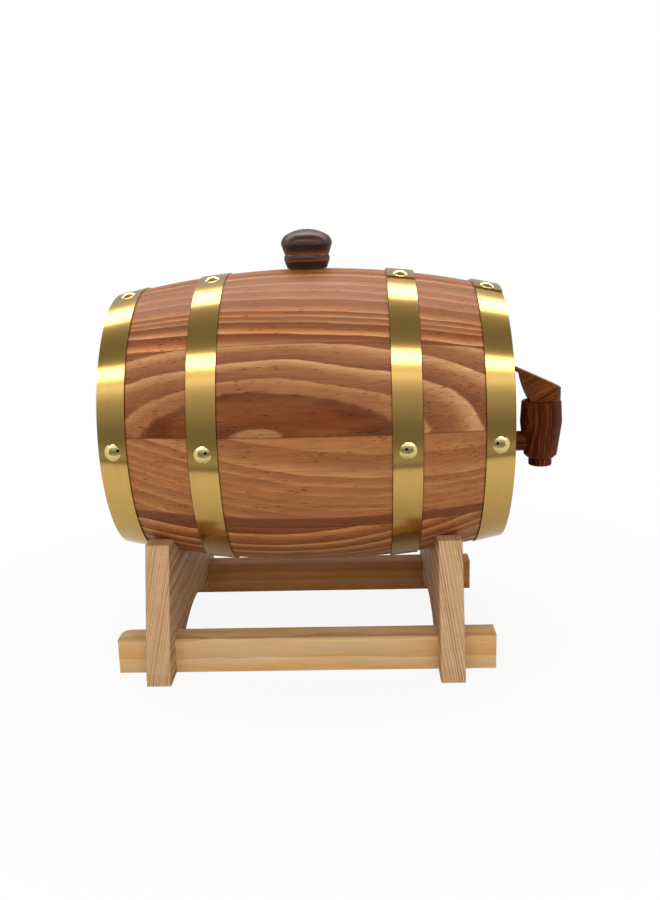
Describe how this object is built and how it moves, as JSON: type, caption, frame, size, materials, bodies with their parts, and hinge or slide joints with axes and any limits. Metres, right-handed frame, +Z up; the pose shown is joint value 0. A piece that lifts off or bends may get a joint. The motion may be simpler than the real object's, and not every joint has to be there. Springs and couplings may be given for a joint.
{
  "type": "wooden cask liquor dispenser",
  "caption": "Small bowed stave cask with brass hoops and a wooden plug tap, lying on a wooden cradle stand, with a turned bung on top.",
  "frame": {"origin": "middle of the whole object's footprint, on the table", "axes": "+X along the cask towards the tap, +Y away from the user who sees the tap on the right, +Z up"},
  "size_m": [0.3305, 0.22, 0.309],
  "materials": {
    "stained_cask_wood": "reddish-brown stained softwood, satin",
    "dark_turned_wood": "dark polished hardwood",
    "pale_pine": "planed unfinished pine",
    "brass": "brushed strip, polished nail heads"
  },
  "bodies": {
    "stand": {"left_cradle": "pale_pine", "right_cradle": "pale_pine", "front_rail": "pale_pine", "back_rail": "pale_pine"},
    "cask": {"bung_stave": "stained_cask_wood", "stave_02": "stained_cask_wood", "stave_03": "stained_cask_wood", "stave_04": "stained_cask_wood", "stave_05": "stained_cask_wood", "stave_06": "stained_cask_wood", "stave_07": "stained_cask_wood", "stave_08": "stained_cask_wood", "stave_09": "stained_cask_wood", "stave_10": "stained_cask_wood", "left_head_board_1": "stained_cask_wood", "left_head_board_2": "stained_cask_wood", "left_head_board_3": "stained_cask_wood", "left_head_board_4": "stained_cask_wood", "tap_head_board_1": "stained_cask_wood", "tap_head_board_2": "stained_cask_wood", "tap_head_board_3": "stained_cask_wood", "tap_head_board_4": "stained_cask_wood", "left_chime_hoop": "brass", "left_quarter_hoop": "brass", "right_quarter_hoop": "brass", "right_chime_hoop": "brass", "left_chime_nails": "brass", "left_quarter_nails": "brass", "right_quarter_nails": "brass", "right_chime_nails": "brass", "tap_body": "dark_turned_wood", "tap_shank": "dark_turned_wood"},
    "bung": {"bung": "dark_turned_wood"},
    "tap_key": {"tap_key": "dark_turned_wood"}
  },
  "joints": [
    {"name": "cask_lift", "type": "slide", "parent": "stand", "child": "cask", "axis": [0, 0, 1], "range_m": [0, 0.12]},
    {"name": "bung_pull", "type": "slide", "parent": "cask", "child": "bung", "axis": [0, 0, 1], "range_m": [0, 0.05]},
    {"name": "tap_key_turn", "type": "hinge", "parent": "cask", "child": "tap_key", "pos_m": [0.1495, 0, 0.1775], "axis": [0, 0, 1], "continuous": true}
  ]
}
